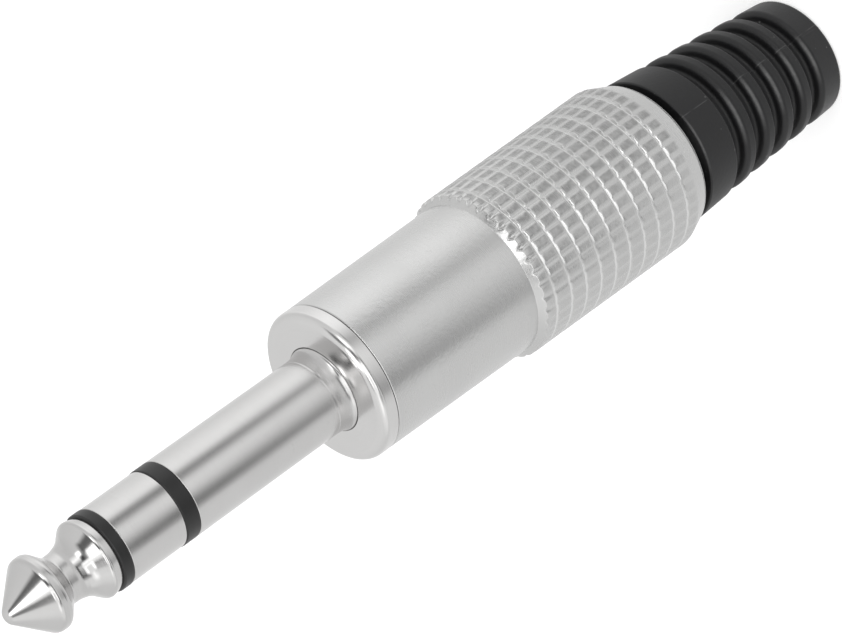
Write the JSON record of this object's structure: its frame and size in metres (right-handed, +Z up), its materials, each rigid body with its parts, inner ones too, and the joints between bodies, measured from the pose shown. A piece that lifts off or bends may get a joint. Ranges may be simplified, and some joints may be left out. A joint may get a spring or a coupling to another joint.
{
  "type": "stereo jack plug",
  "caption": "Metal stereo jack plug with tip, ring and sleeve contacts, a knurled screw-on shell and a ribbed black rubber boot.",
  "frame": {"origin": "middle of the boot's flat end, which is the lowest face", "axes": "+Z up the plug's axis to the tip; +X to the side that the ring lug lies on; +Y to the side that the tip lug lies on"},
  "size_m": [0.0142, 0.0142, 0.0831],
  "materials": {
    "nickel": "polished nickel plate on brass",
    "nickel_satin": "satin nickel plate on brass",
    "shell_nickel": "turned satin nickel plate on brass",
    "nickel_sheet": "nickel plated sheet brass",
    "tinned": "tinned sheet brass",
    "collar_black": "turned black plastic",
    "tube_white": "extruded plastic tube",
    "washer_brown": "laminated paper board",
    "liner_white": "translucent plastic tube",
    "boot_rubber": "moulded matte black rubber"
  },
  "bodies": {
    "boot": {"boot": "boot_rubber"},
    "shell": {"shell": "shell_nickel"},
    "liner": {"liner": "liner_white"},
    "plug": {"tip_contact": "nickel", "tip_collar": "collar_black", "inner_tube": "tube_white", "ring_contact": "nickel_satin", "ring_collar": "collar_black", "outer_tube": "tube_white", "sleeve_contact": "nickel_satin", "nose_body": "nickel", "cord_clamp": "nickel_sheet", "ring_washer": "washer_brown", "ring_lug": "tinned", "tip_washer": "washer_brown", "tip_lug": "tinned"}
  },
  "joints": [
    {"name": "shell_turn", "type": "hinge", "parent": "boot", "child": "shell", "pos_m": [0, 0, 0.0177], "axis": [0, 0, -1], "range_deg": [0, 2520]},
    {"name": "thread_rise", "type": "slide", "parent": "boot", "child": "liner", "axis": [0, 0, 1], "range_m": [0, 0.0071]},
    {"name": "plug_pull", "type": "slide", "parent": "liner", "child": "plug", "axis": [0, 0, 1], "range_m": [0, 0.03]}
  ],
  "couplings": [
    {"joint": "thread_rise", "follows": "shell_turn", "m_per_rad": 0.00015915}
  ]
}
